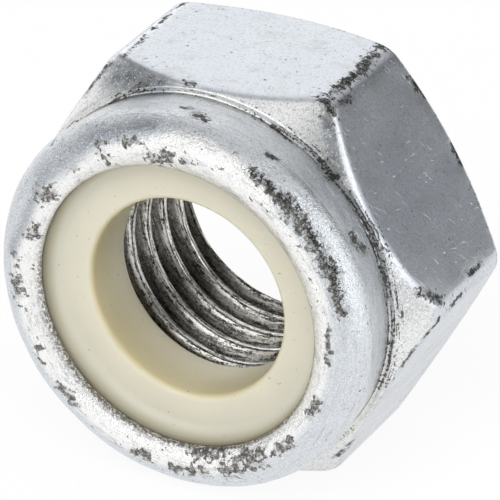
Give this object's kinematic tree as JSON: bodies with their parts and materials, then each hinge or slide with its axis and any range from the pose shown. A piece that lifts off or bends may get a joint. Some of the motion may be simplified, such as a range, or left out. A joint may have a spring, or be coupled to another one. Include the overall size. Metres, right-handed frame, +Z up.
{
  "type": "nylon insert lock nut",
  "caption": "Hexagonal lock nut with a round rolled collar that holds a nylon locking ring over the thread.",
  "frame": {"origin": "centre of the bottom of the nut as it lies on one flat, under the middle of its length", "axes": "+Z up, square to the flat it lies on; +Y along the thread's axis from the collar to the bearing face; +X through a corner of the hexagon"},
  "size_m": [0.0216, 0.012, 0.019],
  "materials": {
    "zinc_steel": "bright zinc plating, worn and pitted",
    "nylon": "satin natural nylon"
  },
  "bodies": {
    "root": {"nut_body": "zinc_steel", "nylon_insert": "nylon"}
  },
  "joints": []
}
